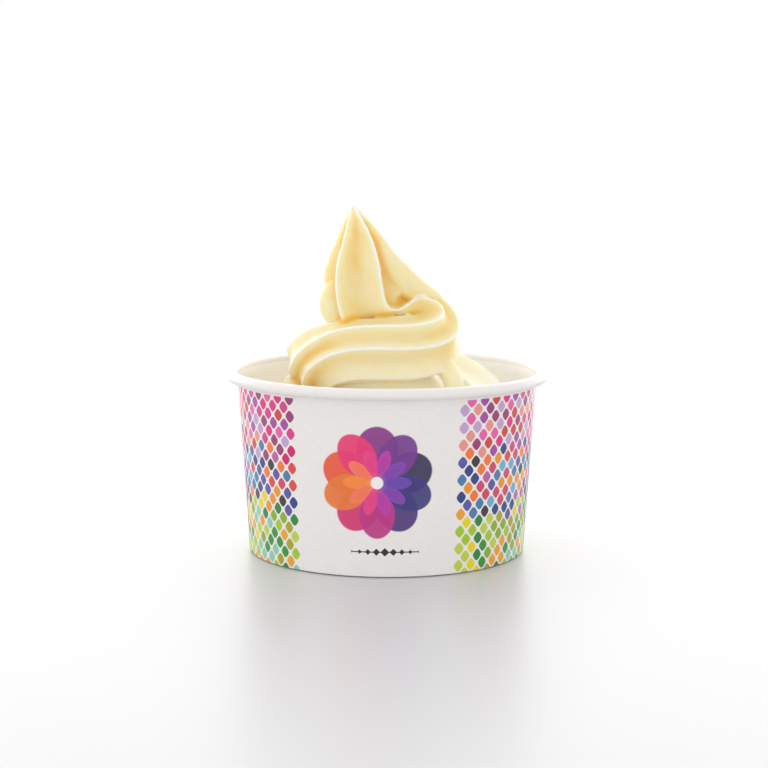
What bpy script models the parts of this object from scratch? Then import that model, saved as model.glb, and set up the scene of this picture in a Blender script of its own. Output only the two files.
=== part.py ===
"""A paper cup of soft-serve frozen yogurt, in metres, +Z up.

The origin is the middle of the cup's footprint, on the surface it stands on, and the
side with the plain panel faces -Y. The tables and sizes below are in millimetres.
"""

import math

import bpy
import numpy as np

MM = 0.001

# The cup: its widest, its footprint and its height give everything else.
RIM_DIAMETER = 96.0
FOOT_DIAMETER = 82.8
CUP_HEIGHT = 54.6
ROLL_RADIUS = 1.65
PAPER = 0.6
HEM_HEIGHT = 6.0
HEM_GAP = 0.25
SKIRT_LIFT = 0.6
BASE_CORNER = 0.8
BASE_TAPER = 0.1
CUP_SEGMENTS = 72
ROLL_SEGMENTS = 11
# The roll starts where it meets the outside of the wall and ends on its inside.
ROLL_FROM, ROLL_TO = -150.0, 180.0

# The yogurt keeps this far from the paper. Its core is drawn past the cup's inside by
# the overrun and then cut to it.
FOOD_GAP = 0.3
CUT_HEIGHT = 130.0
SIDE_OVERRUN = 1.0
FLOOR_OVERRUN = 2.0

# The core hidden under the coils: (radius, z), from the wall up to a mound.
FILL_TOP = 33.0
CORE_MOUND = ((30.0, 38.0), (20.0, 47.0), (11.0, 57.0), (5.0, 66.0), (0.0, 70.0))

# The piped rope is a six-pointed star in section; its points are not evenly spaced.
STAR_POINTS = (-6.0, 55.0, 120.0, 199.0, 249.0, 288.0)
# Each flute's hollow leaves one point at the first power and meets the next at the other.
FLUTE_START, FLUTE_END = 1.0, 0.75
EDGE_ROUNDING = 0.08
SECTION_STEPS = 12

# The two coils inside the cup, by the angle around the cup, counter-clockwise from +X.
COIL_START = -150.0
COIL_END = 330.0
COIL_STEP = 30.0
OUTER_COIL_RADIUS = 30.5
INNER_COIL_RADIUS = 28.0
COIL_Z_START = 29.0
COIL_Z_CLIMB = 3.0
COIL_Z_RISE = 4.0
CLIMB_FROM, CLIMB_TO = 180.0, 350.0
COIL_HALF_WIDTH = 12.0
COIL_HALF_HEIGHT = 9.5
COIL_FLUTE = 0.24
PHASE_AT_END = -135.0
PHASE_PER_DEGREE = 0.5

# The top of the rope: it climbs out at the left, crosses the front, folds back over
# itself at the right and is drawn up to the peak.
# Middle x, y, z, half width, half height, phase in degrees, flute depth.
TOP_ROWS = (
    (27.0, 3.0, 40.0, 12.0, 9.5, -120.0, 0.24),
    (21.5, 16.0, 45.5, 11.5, 9.5, -105.0, 0.24),
    (9.0, 23.0, 50.0, 11.5, 9.5, -92.0, 0.24),
    (-6.0, 23.0, 52.5, 11.0, 9.5, -74.0, 0.24),
    (-17.5, 15.0, 54.0, 10.7, 9.5, -50.0, 0.24),
    (-21.5, 4.5, 55.0, 10.5, 9.5, -24.0, 0.24),
    (-18.5, -5.0, 57.8, 10.4, 9.5, 17.0, 0.24),
    (-11.0, -11.0, 60.0, 11.0, 9.2, 42.0, 0.24),
    (-2.0, -13.0, 60.8, 11.5, 9.0, 44.0, 0.24),
    (6.5, -11.8, 61.2, 11.5, 9.5, 42.0, 0.24),
    (11.8, -6.5, 62.6, 11.2, 10.0, 43.0, 0.24),
    (12.0, -0.5, 65.5, 11.2, 10.5, 50.0, 0.25),
    (7.5, 2.5, 68.5, 11.5, 10.8, 76.0, 0.27),
    (1.0, 2.0, 69.8, 12.0, 11.5, 98.0, 0.29),
    (-4.4, 0.5, 73.4, 13.0, 13.0, 109.0, 0.31),
    (-6.6, -0.8, 79.5, 13.0, 12.8, 110.0, 0.33),
    (-7.4, -1.0, 86.0, 11.7, 11.7, 108.0, 0.37),
    (-8.2, -0.5, 92.5, 8.4, 8.4, 106.0, 0.42),
    (-9.2, 0.0, 98.0, 4.9, 4.9, 105.0, 0.46),
    (-10.2, 0.0, 103.6, 1.0, 1.0, 105.0, 0.30),
)
STATIONS_PER_ROW = 8

# Folds pressed out of the rope where it turns: their middles, and their radii there.
FOLDS = (
    ("flare", ((-12.2, -1.0, 81.0), (-14.8, -0.5, 74.8), (-12.5, -2.0, 71.5)), (3.0, 5.7, 5.0)),
    ("sheet", ((-1.2, -3.4, 91.5), (4.6, -4.0, 81.6), (13.6, 2.0, 75.2)), (1.8, 4.0, 3.0)),
    ("lip", ((15.5, -9.5, 57.5), (19.0, -10.6, 53.4), (20.0, -11.5, 47.0)), (2.4, 3.0, 3.0)),
    ("cuff", ((-23.0, 2.5, 51.5), (-27.4, 1.5, 50.6), (-29.4, 0.5, 46.0)), (3.0, 2.9, 2.3)),
)
FOLD_SIDES = 20
FOLD_STEPS = 10
FOLD_END_ANGLES = (25, 50, 75)

# How fine the fused surface is, how often it is smoothed, and how many triangles it keeps.
VOXEL = 0.6
SMOOTHING_FACTOR = 0.5
SMOOTHING_ROUNDS = 3
KEPT_TRIANGLES = 7600
SHARP_DEGREES = 40.0


def clear_scene():
    for obj in list(bpy.data.objects):
        bpy.data.objects.remove(obj, do_unlink=True)


def new_object(name, vertices, faces):
    """An object from vertices in millimetres."""
    mesh = bpy.data.meshes.new(name)
    mesh.from_pydata([tuple(c * MM for c in v) for v in vertices], [], faces)
    mesh.validate()
    obj = bpy.data.objects.new(name, mesh)
    bpy.context.scene.collection.objects.link(obj)
    return obj


def principled(name, colour, roughness):
    material = bpy.data.materials.new(name)
    material.use_nodes = True
    shader = material.node_tree.nodes["Principled BSDF"]
    shader.inputs["Base Color"].default_value = (*colour, 1.0)
    shader.inputs["Roughness"].default_value = roughness
    shader.inputs["Metallic"].default_value = 0.0
    return material


def turned(name, profile, segments=CUP_SEGMENTS):
    """A closed profile of (radius, z), counter-clockwise seen from +Y, turned about Z."""
    vertices, faces = [], []
    count = len(profile)
    for i in range(segments):
        angle = 2 * math.pi * i / segments
        for radius, z in profile:
            vertices.append((radius * math.cos(angle), radius * math.sin(angle), z))
    for i in range(segments):
        here, there = i * count, (i + 1) % segments * count
        for k in range(count):
            n = (k + 1) % count
            faces.append((here + k, there + k, there + n, here + n))
    return new_object(name, vertices, faces)


def turned_solid(name, profile, segments=CUP_SEGMENTS):
    """A solid turned from an open profile that runs from the axis round to the axis."""
    rings = profile[1:-1]
    vertices = [(0.0, 0.0, profile[0][1])]
    for i in range(segments):
        angle = 2 * math.pi * i / segments
        vertices += [(r * math.cos(angle), r * math.sin(angle), z) for r, z in rings]
    vertices.append((0.0, 0.0, profile[-1][1]))
    count, last, faces = len(rings), len(vertices) - 1, []
    for i in range(segments):
        here, there = 1 + i * count, 1 + (i + 1) % segments * count
        faces.append((0, there, here))
        for k in range(count - 1):
            faces.append((here + k, there + k, there + k + 1, here + k + 1))
        faces.append((here + count - 1, there + count - 1, last))
    return new_object(name, vertices, faces)


def wall_radius(z):
    """The outside of the cup's wall at height z, on up past the rim in a straight line."""
    foot = FOOT_DIAMETER / 2
    top = RIM_DIAMETER / 2 - 2 * ROLL_RADIUS
    return foot + (top - foot) * z / (CUP_HEIGHT - 2 * ROLL_RADIUS)


def cup_wall():
    """The side of the cup: rolled rim above, folded hem below."""
    roll_r = RIM_DIAMETER / 2 - ROLL_RADIUS
    roll_z = CUP_HEIGHT - ROLL_RADIUS
    join_z = roll_z - ROLL_RADIUS
    profile = [(wall_radius(0.0), 0.0), (wall_radius(join_z), join_z)]
    first, last = math.radians(ROLL_FROM), math.radians(ROLL_TO)
    for k in range(ROLL_SEGMENTS + 1):
        angle = first + (last - first) * k / ROLL_SEGMENTS
        profile.append(
            (roll_r + ROLL_RADIUS * math.cos(angle), roll_z + ROLL_RADIUS * math.sin(angle))
        )
    hem_out = wall_radius(HEM_HEIGHT) - PAPER
    fold = PAPER + 2 * HEM_GAP
    profile += [
        (wall_radius(roll_z) - PAPER, join_z),
        (hem_out, HEM_HEIGHT),
        (wall_radius(SKIRT_LIFT) - PAPER, SKIRT_LIFT),
        (wall_radius(SKIRT_LIFT) - PAPER - fold, SKIRT_LIFT),
        (hem_out - fold, HEM_HEIGHT - PAPER - HEM_GAP),
        (hem_out - fold - PAPER, HEM_HEIGHT - PAPER - HEM_GAP),
        (wall_radius(0.0) - 2 * PAPER - fold, 0.0),
    ]
    return turned("cup_wall", profile)


def cup_base():
    """The round base, standing on its skirt inside the hem's fold."""
    top = HEM_HEIGHT + PAPER
    skirt_z = SKIRT_LIFT + HEM_GAP
    out_top = wall_radius(top) - PAPER - HEM_GAP
    out_low = wall_radius(skirt_z) - PAPER - HEM_GAP
    profile = [
        (0.0, HEM_HEIGHT),
        (out_top - PAPER - HEM_GAP, HEM_HEIGHT),
        (out_low - PAPER, skirt_z),
        (out_low, skirt_z),
        (out_top - BASE_TAPER, top - BASE_CORNER),
        (out_top - BASE_CORNER, top),
        (0.0, top),
    ]
    return turned_solid("cup_base", profile)


def smooth_step(value):
    t = min(max(value, 0.0), 1.0)
    return t * t * (3 - 2 * t)


def coil_rows():
    """The rows of the two coils in the cup: the first against the wall, the next inside it."""
    rows = []
    steps = round((COIL_END - COIL_START) / COIL_STEP)
    for k in range(steps + 1):
        degrees = COIL_START + COIL_STEP * k
        inward = smooth_step((degrees - CLIMB_FROM) / (CLIMB_TO - CLIMB_FROM))
        radius = OUTER_COIL_RADIUS + (INNER_COIL_RADIUS - OUTER_COIL_RADIUS) * inward
        z = COIL_Z_START + COIL_Z_CLIMB * k / steps + COIL_Z_RISE * inward
        angle = math.radians(degrees)
        phase = PHASE_AT_END - PHASE_PER_DEGREE * (COIL_END - degrees)
        middle = (radius * math.cos(angle), radius * math.sin(angle), z)
        rows.append((*middle, COIL_HALF_WIDTH, COIL_HALF_HEIGHT, phase, COIL_FLUTE))
    return rows


def natural_spline(rows, per_row):
    """Rows on a smooth curve through the given ones, per_row to each."""
    rows = np.array(rows)
    count = len(rows)
    matrix, right = np.eye(count), np.zeros_like(rows)
    for i in range(1, count - 1):
        matrix[i, i - 1 : i + 2] = 1.0, 4.0, 1.0
        right[i] = 6 * (rows[i - 1] - 2 * rows[i] + rows[i + 1])
    bend = np.linalg.solve(matrix, right)
    found = []
    for i in range(count - 1):
        for t in np.arange(per_row) / per_row:
            u = 1 - t
            curve = (u**3 - u) * bend[i] + (t**3 - t) * bend[i + 1]
            found.append(u * rows[i] + t * rows[i + 1] + curve / 6)
    found.append(rows[-1])
    return np.array(found)


def carried_frames(points):
    """Two directions across the rope at each point, carried along it without twist."""
    along = np.gradient(points, axis=0)
    along /= np.linalg.norm(along, axis=1)[:, None]
    outward = np.zeros_like(points)
    start = np.array([points[0][0], points[0][1], 0.0])
    start -= start @ along[0] * along[0]
    outward[0] = start / np.linalg.norm(start)
    for i in range(len(points) - 1):
        step = points[i + 1] - points[i]
        size = step @ step
        side = outward[i] - 2 / size * (step @ outward[i]) * step
        ahead = along[i] - 2 / size * (step @ along[i]) * step
        turn = along[i + 1] - ahead
        if turn @ turn > 1e-12:
            side = side - 2 / (turn @ turn) * (turn @ side) * turn
        outward[i + 1] = side
    return outward, np.cross(outward, along)


def star_section(flute):
    """(angle in degrees, share of the full radius) round the star, SECTION_STEPS to a flute."""
    low_point = FLUTE_START / (FLUTE_START + FLUTE_END)
    deepest = low_point**FLUTE_START * (1 - low_point) ** FLUTE_END
    found = []
    for k, low in enumerate(STAR_POINTS):
        high = STAR_POINTS[(k + 1) % len(STAR_POINTS)] + (360.0 if k == len(STAR_POINTS) - 1 else 0.0)
        for step in range(SECTION_STEPS):
            t = step / SECTION_STEPS
            hollow = t**FLUTE_START * (1 - t) ** FLUTE_END / deepest
            hollow = math.sqrt(hollow**2 + EDGE_ROUNDING**2) - EDGE_ROUNDING
            found.append((low + (high - low) * t, 1 - flute * hollow))
    return found


def rope():
    """(vertices, faces) of the closed tube that the piped yogurt is, from the cup to the peak."""
    rows = natural_spline(coil_rows() + list(TOP_ROWS), STATIONS_PER_ROW)
    middle = rows[:, :3]
    outward, up = carried_frames(middle)
    vertices, faces = [], []
    for i, row in enumerate(rows):
        half_width, half_height, phase, flute = row[3:]
        for degrees, share in star_section(flute):
            angle = math.radians(degrees + phase)
            across = share * half_width * math.cos(angle) * outward[i]
            vertices.append(middle[i] + across + share * half_height * math.sin(angle) * up[i])
    ring = SECTION_STEPS * len(STAR_POINTS)
    for i in range(len(rows) - 1):
        here, there = i * ring, (i + 1) * ring
        for k in range(ring):
            n = (k + 1) % ring
            faces.append((here + k, here + n, there + n, there + k))
    faces.append(tuple(reversed(range(ring))))
    faces.append(tuple(range(len(vertices) - ring, len(vertices))))
    return vertices, faces


def fold(points, radii):
    """(vertices, faces) of a short tube with round ends, bent through three points."""
    first, middle, last = (np.array(p) for p in points)
    bend = 2 * middle - (first + last) / 2
    steps = np.linspace(0.0, 1.0, FOLD_STEPS + 1)
    line = [(1 - t) ** 2 * first + 2 * t * (1 - t) * bend + t**2 * last for t in steps]
    swell = 2 * radii[1] - (radii[0] + radii[2]) / 2
    size = (1 - steps) ** 2 * radii[0] + 2 * steps * (1 - steps) * swell + steps**2 * radii[2]
    outward, up = carried_frames(np.array(line))
    along = np.cross(up, outward)
    rings = []
    for angle in np.radians([-degrees for degrees in reversed(FOLD_END_ANGLES)]):
        rings.append((line[0] + size[0] * math.sin(angle) * along[0], size[0] * math.cos(angle), 0))
    rings += [(line[i], size[i], i) for i in range(FOLD_STEPS + 1)]
    for angle in np.radians(FOLD_END_ANGLES):
        rings.append((line[-1] + size[-1] * math.sin(angle) * along[-1], size[-1] * math.cos(angle), -1))
    vertices, faces = [], []
    for centre, radius, i in rings:
        for k in range(FOLD_SIDES):
            angle = 2 * math.pi * k / FOLD_SIDES
            vertices.append(centre + radius * (math.cos(angle) * outward[i] + math.sin(angle) * up[i]))
    for i in range(len(rings) - 1):
        here, there = i * FOLD_SIDES, (i + 1) * FOLD_SIDES
        for k in range(FOLD_SIDES):
            n = (k + 1) % FOLD_SIDES
            faces.append((here + k, here + n, there + n, there + k))
    faces.append(tuple(reversed(range(FOLD_SIDES))))
    faces.append(tuple(range(len(vertices) - FOLD_SIDES, len(vertices))))
    return vertices, faces


def core_profile():
    """What lies hidden under the coils: the cup filled to its wall, then the mound."""
    floor = HEM_HEIGHT + PAPER - FLOOR_OVERRUN
    return [
        (0.0, floor),
        (wall_radius(floor) + SIDE_OVERRUN, floor),
        (wall_radius(FILL_TOP) + SIDE_OVERRUN, FILL_TOP),
        *CORE_MOUND,
    ]


def inside_of_cup():
    """The cup's inside, a little clear of the paper, and open far above the rim."""
    floor = HEM_HEIGHT + PAPER + FOOD_GAP
    profile = [
        (0.0, floor),
        (wall_radius(floor) - PAPER - FOOD_GAP - BASE_CORNER, floor),
        (wall_radius(floor) - PAPER - FOOD_GAP, floor + BASE_CORNER),
        (wall_radius(CUT_HEIGHT) - PAPER - FOOD_GAP, CUT_HEIGHT),
        (0.0, CUT_HEIGHT),
    ]
    cutter = turned_solid("inside_of_cup", profile)
    cutter.hide_render = True
    cutter.display_type = "WIRE"
    return cutter


def add_modifier(obj, kind, **settings):
    modifier = obj.modifiers.new(kind.title(), kind)
    for name, value in settings.items():
        setattr(modifier, name, value)
    return modifier


def apply_modifiers(obj):
    """Puts the evaluated mesh in the modifiers' place."""
    graph = bpy.context.evaluated_depsgraph_get()
    mesh = bpy.data.meshes.new_from_object(obj.evaluated_get(graph))
    obj.modifiers.clear()
    obj.data = mesh


def triangle_count(mesh):
    mesh.calc_loop_triangles()
    return len(mesh.loop_triangles)


def frozen_yogurt():
    """The rope and its core, fused into one skin and cut to the inside of the cup."""
    vertices, faces = rope()
    core = turned_solid("core", core_profile())
    offset = len(vertices)
    vertices += [tuple(c / MM for c in v.co) for v in core.data.vertices]
    faces += [tuple(offset + i for i in p.vertices) for p in core.data.polygons]
    bpy.data.objects.remove(core, do_unlink=True)
    for name, points, radii in FOLDS:
        offset = len(vertices)
        more_vertices, more_faces = fold(points, radii)
        vertices += more_vertices
        faces += [tuple(offset + i for i in face) for face in more_faces]
    food = new_object("frozen_yogurt", vertices, faces)
    add_modifier(food, "REMESH", mode="VOXEL", voxel_size=VOXEL * MM, adaptivity=0.0)
    add_modifier(food, "SMOOTH", factor=SMOOTHING_FACTOR, iterations=SMOOTHING_ROUNDS)
    apply_modifiers(food)
    ratio = KEPT_TRIANGLES / triangle_count(food.data)
    add_modifier(food, "DECIMATE", decimate_type="COLLAPSE", ratio=ratio)
    apply_modifiers(food)
    add_modifier(food, "BOOLEAN", operation="INTERSECT", object=inside_of_cup(), solver="EXACT")
    return food


def main():
    clear_scene()
    paper = principled("paper", (0.86, 0.85, 0.84), 0.35)
    base_paper = principled("base_paper", (0.88, 0.87, 0.86), 0.45)
    yogurt = principled("yogurt", (0.93, 0.83, 0.60), 0.40)
    for obj, material in ((cup_wall(), paper), (cup_base(), base_paper), (frozen_yogurt(), yogurt)):
        obj.data.materials.clear()
        obj.data.materials.append(material)
        obj.data.shade_smooth()
        obj.data.set_sharp_from_angle(angle=math.radians(SHARP_DEGREES))


main()
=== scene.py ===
"""The looks of the frozen yogurt cup: its paper, its print, the yogurt, the studio and the camera."""

import math

import bpy
import mathutils
import mathutils.bvhtree
import mathutils.kdtree
import numpy as np
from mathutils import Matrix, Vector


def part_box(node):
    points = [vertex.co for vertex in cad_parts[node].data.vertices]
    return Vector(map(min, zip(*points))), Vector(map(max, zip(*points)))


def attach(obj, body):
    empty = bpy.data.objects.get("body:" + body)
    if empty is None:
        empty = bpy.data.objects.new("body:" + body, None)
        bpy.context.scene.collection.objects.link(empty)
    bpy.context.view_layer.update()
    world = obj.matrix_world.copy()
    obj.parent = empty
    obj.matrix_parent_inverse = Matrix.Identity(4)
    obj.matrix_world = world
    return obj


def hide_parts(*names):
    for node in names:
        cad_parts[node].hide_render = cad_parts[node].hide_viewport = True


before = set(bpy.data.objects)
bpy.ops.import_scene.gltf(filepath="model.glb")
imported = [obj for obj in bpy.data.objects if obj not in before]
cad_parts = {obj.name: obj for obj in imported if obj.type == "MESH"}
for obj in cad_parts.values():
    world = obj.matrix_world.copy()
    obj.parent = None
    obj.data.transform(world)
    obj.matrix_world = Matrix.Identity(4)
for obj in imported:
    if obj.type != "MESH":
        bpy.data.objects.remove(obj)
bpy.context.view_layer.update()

MM = 0.001

# The camera, fitted to the photograph's rim and foot.
CAMERA_PLACE = (0.0, -0.5579, 0.1249)
CAMERA_PITCH = 0.1339
CAMERA_ROLL = 0.0039
CAMERA_LENS = 87.82
CAMERA_SHIFT = -0.004

# The cup, in millimetres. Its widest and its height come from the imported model.
_, WALL_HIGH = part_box("cup_wall")
RIM_RADIUS = WALL_HIGH.x / MM
CUP_HEIGHT = WALL_HIGH.z / MM
FOOT_RADIUS = 41.4
ROLL_RADIUS = 1.65
PAPER = 0.6
HEM_HEIGHT = 6.0
HEM_GAP = 0.25
SKIRT_LIFT = 0.6
BASE_CORNER = 0.8
CUP_SEGMENTS = 360
ROLL_SEGMENTS = 30
SEAM_DEGREES = 97.0
SEAM_WIDTH = 8.0
KNURLS = 90
KNURL_DEPTH = 0.12
FOOT_ROUNDING = 0.2
HEM_LIFT = 0.35
HEM_SET = 1.8

# The yogurt, in millimetres and degrees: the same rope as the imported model's, finer.
FOOD_GAP = 0.3
FILL_TOP = 33.0
STAR_POINTS = (-6.0, 55.0, 120.0, 199.0, 249.0, 288.0)
FLUTE_START, FLUTE_END = 1.0, 0.75
EDGE_ROUNDING = 0.08
SECTION_STEPS = 28
COIL_START, COIL_END, COIL_STEP = -150.0, 330.0, 30.0
OUTER_COIL_RADIUS, INNER_COIL_RADIUS = 30.5, 28.0
COIL_Z_START, COIL_Z_CLIMB, COIL_Z_RISE = 29.0, 3.0, 4.0
CLIMB_FROM, CLIMB_TO = 180.0, 350.0
COIL_HALF_WIDTH, COIL_HALF_HEIGHT, COIL_FLUTE = 12.0, 9.5, 0.24
PHASE_AT_END, PHASE_PER_DEGREE = -135.0, 0.5
# Middle x, y, z, half width, half height, phase in degrees, flute depth.
TOP_ROWS = (
    (27.0, 3.0, 40.0, 12.0, 9.5, -120.0, 0.24),
    (21.5, 16.0, 45.5, 11.5, 9.5, -105.0, 0.24),
    (9.0, 23.0, 50.0, 11.5, 9.5, -92.0, 0.24),
    (-6.0, 23.0, 52.5, 11.0, 9.5, -74.0, 0.24),
    (-17.5, 15.0, 54.0, 10.7, 9.5, -50.0, 0.24),
    (-21.5, 4.5, 55.0, 10.5, 9.5, -24.0, 0.24),
    (-18.5, -5.0, 57.8, 10.4, 9.5, 17.0, 0.24),
    (-11.0, -11.0, 60.0, 11.0, 9.2, 42.0, 0.24),
    (-2.0, -13.0, 60.8, 11.5, 9.0, 44.0, 0.24),
    (6.5, -11.8, 61.2, 11.5, 9.5, 42.0, 0.24),
    (11.8, -6.5, 62.6, 11.2, 10.0, 43.0, 0.24),
    (12.0, -0.5, 65.5, 11.2, 10.5, 50.0, 0.25),
    (7.5, 2.5, 68.5, 11.5, 10.8, 76.0, 0.27),
    (1.0, 2.0, 69.8, 12.0, 11.5, 98.0, 0.29),
    (-4.4, 0.5, 73.4, 13.0, 13.0, 109.0, 0.31),
    (-6.6, -0.8, 79.5, 13.0, 12.8, 110.0, 0.33),
    (-7.4, -1.0, 86.0, 11.7, 11.7, 108.0, 0.37),
    (-8.2, -0.5, 92.5, 8.4, 8.4, 106.0, 0.42),
    (-9.2, 0.0, 98.0, 4.9, 4.9, 105.0, 0.46),
    (-10.2, 0.0, 103.3, 1.0, 1.0, 105.0, 0.30),
)
STATIONS_PER_ROW = 24
FOLDS = (
    ("flare", ((-12.2, -1.0, 81.0), (-14.8, -0.5, 74.8), (-12.5, -2.0, 71.5)), (3.0, 5.7, 5.0)),
    ("sheet", ((-1.2, -3.4, 91.5), (4.6, -4.0, 81.6), (13.6, 2.0, 75.2)), (1.8, 4.0, 3.0)),
    ("lip", ((15.5, -9.5, 57.5), (19.0, -10.6, 53.4), (20.0, -11.5, 47.0)), (2.4, 3.0, 3.0)),
    ("cuff", ((-23.0, 2.5, 51.5), (-27.4, 1.5, 50.6), (-29.4, 0.5, 46.0)), (3.0, 2.9, 2.3)),
)
FOLD_SIDES = 36
FOLD_STEPS = 24
FOLD_END_ANGLES = (18.0, 35.0, 50.0, 65.0, 80.0)
CORE_SUNK = 2.0
CORE_OVERLAP = 1.0
CORE_MOUND = ((30.0, 38.0), (20.0, 47.0), (11.0, 57.0), (8.5, 66.0), (7.6, 71.0), (5.6, 73.2), (0.0, 74.5))
CORE_SEGMENTS, CUTTER_SEGMENTS = 72, 144
CUTTER_RISE = 20.0

# The yogurt's skin: its mesh, and how it is smoothed and laid on the rope, in rounds and millimetres.
VOXEL = 0.4
KEPT_TRIANGLES = 180000
CREASE_ROUNDS = 6
CREASE_DEPTH = 0.3
SMOOTHING_ROUNDS = 4
BEND_ROUNDS = 8
LAY_WITHIN = 0.8
SAME_FACING = 0.5
RIPPLE = 0.08
RIPPLE_BELOW = 99.0
RIPPLE_CLEARANCE = 0.05
WIDE_ROUNDS, NARROW_ROUNDS, FIELD_ROUNDS = 90, 10, 2
CREST_REACH = 3.0
SEAM_STRETCHES = ((-17.0, 3.5), (5.0, 11.5), (13.5, 18.0))
SEAM_REACH = (0.5, 1.8)

# The print, by the angle round the cup from the front, in degrees, and by height in millimetres.
PLAIN_FROM, PLAIN_TO = -37.5, 28.5
PRINT_LOW, PRINT_HIGH = 0.4, 50.4
MOTIF_PITCH = 4.4
MOTIF_ROW = 2.5
MOTIF_SIZE = 0.43
MOTIF_ROUNDING = 3.2
TOP_BAND = ("d6006f", "ec1a86", "f05fae", "a84aa8", "c9a6d6", "e23a8c", "d5443c", "f0998f", "a13a78")
MIDDLE_BAND = (
    "2d3f8c", "5a58a8", "6cb4dc", "4a7fb0", "f59a12", "ff7a33", "e24b42", "3b3335", "d9456a", "c560ac",
)
LOW_BAND = ("2f9a2c", "228a3a", "8db81e", "c6d84a", "f2dd0c", "a8cf1c", "8fd3ba", "b3a90f", "f7a823")
BAND_EDGES = (17.5, 34.0)
BAND_MIXING = 7.0

# The ornaments on the plain panel.
ROSETTE_PLACE = (-3.6, 27.6)
PETAL_RINGS = (
    # petals, first petal's angle, middle distance, half length, half width, colours from right to left
    (5, 18.0, 9.4, 6.9, 6.0, ("2a1f4f", "4a2a7c", "8b2a84", "d61a72", "f2552f")),
    (5, -18.0, 9.4, 6.9, 5.2, ("33307a", "7a3191", "c12a86", "ee1f78", "ee7a2e")),
    (10, 0.0, 5.6, 4.2, 1.9, ("6a3fb0", "a83ab0", "d92c8f", "f4417f", "ff8a3a")),
)
HEART_RADIUS = 1.9
DIVIDER_PLACE = (-0.6, 7.6)
CHAIN_PITCH, CHAIN_SIZE, CHAIN_TAPER = 2.4, 1.25, 0.2
RULE_HALF_WIDTH, RULE_HALF_LENGTH = 0.16, 9.6

# The yogurt's colours, and where each sets in and is full: its own butter colour, painted shade (yellower
# in its flutes, creases and seams, toward the peak and at the sides), painted light (paler toward the foot
# and beside the crests) and painted highlights (white lines along the crests). Places are in millimetres.
# From the yogurt's own colour to the yellow of its painted shade.
BUTTER_AND_PAINTED_SHADE = ((0.0, "fbecc4"), (0.45, "fae6ae"), (0.65, "f9df98"), (1.0, "f6ce58"))
# Pale colour of the painted light at the swirl's foot, and of its soft random patches.
MILK_AND_PAINTED_LIGHT = "fff6e0"
# Pale colour of the painted light beside the crests.
CREST_HALO_LIGHT = "fef4dc"
# Yellow of the painted shade in the creases and where the coils meet.
CREASE_SHADE_YELLOW = "f6c43a"
# White of the painted highlights along the crests.
CREST_HIGHLIGHT_WHITE = "fffefa"
ABOVE_RIM = (47.5, 60.0)
TO_PEAK = (64.0, 84.0)
TO_FOOT = (62.5, 50.0)
UNDER_COLUMN = (71.0, 66.0)
TO_RIGHT = (8.0, 18.0)
TO_LEFT = (-12.8, -20.8)
IN_PATCHES = (0.475, 0.725)
IN_CREASE = (0.0833, 0.25)
OUT_OF_SEAM = (0.3333, 0.0)
OUT_OF_HOLLOW = (0.2, 0.0)
ON_RIDGE = (0.15, -0.1)
NEAR_CREST = (1.5, 0.25)
AT_CREST = (0.95, 0.7)
LINE_EDGE = (0.36, 0.16)

# The sky's light: axis, where it starts and ends along it, and its least and most.
SKY_LIGHT = (
    (2, 0.0, 0.45, 1.65, 0.86),
    (1, 0.2, 0.85, 0.0, 0.5),
    (0, -0.8, 0.8, 0.05, -0.07),
)
BACKDROP_GLOW = (1, 0.2, 0.9, 0.0, 0.8)
LAMPS = (
    # name, place, size, power
    ("key", (-0.30, 0.15, 0.55), 0.15, 0.12),
    ("back", (0.25, 0.40, 0.40), 0.15, 0.05),
)
LAMPS_LOOK_AT = (0.0, 0.0, 0.06)
FLOOR_BACK = 280.0
FLOOR_FRONT = 3000.0


def linear(value):
    return value / 12.92 if value <= 0.04045 else ((value + 0.055) / 1.055) ** 2.4


def colour(code):
    """A linear colour from six hexadecimal digits."""
    return tuple(linear(int(code[i : i + 2], 16) / 255) for i in (0, 2, 4)) + (1.0,)


# Meshes.


def mesh_object(name, vertices, faces, materials, material_of=None):
    """An object from vertices in millimetres, shaded smooth."""
    mesh = bpy.data.meshes.new(name)
    mesh.from_pydata((np.array(vertices) * MM).tolist(), [], faces)
    mesh.validate()
    for material in materials:
        mesh.materials.append(material)
    if material_of is not None:
        mesh.polygons.foreach_set("material_index", material_of)
    obj = bpy.data.objects.new(name, mesh)
    bpy.context.scene.collection.objects.link(obj)
    mesh.shade_smooth()
    return obj


def rings_to_faces(rings, count, closed):
    """Quads between rings of count points; closed joins the last ring to the first."""
    faces = []
    for i in range(rings if closed else rings - 1):
        here, there = i * count, (i + 1) % rings * count
        for k in range(count):
            n = (k + 1) % count
            faces.append((here + k, there + k, there + n, here + n))
    return faces


def wall_radius(z):
    """The outside of the cup's wall at height z."""
    top = RIM_RADIUS - 2 * ROLL_RADIUS
    return FOOT_RADIUS + (top - FOOT_RADIUS) * z / (CUP_HEIGHT - 2 * ROLL_RADIUS)


def smooth_step(value):
    t = np.clip(value, 0.0, 1.0)
    return t * t * (3 - 2 * t)


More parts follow.
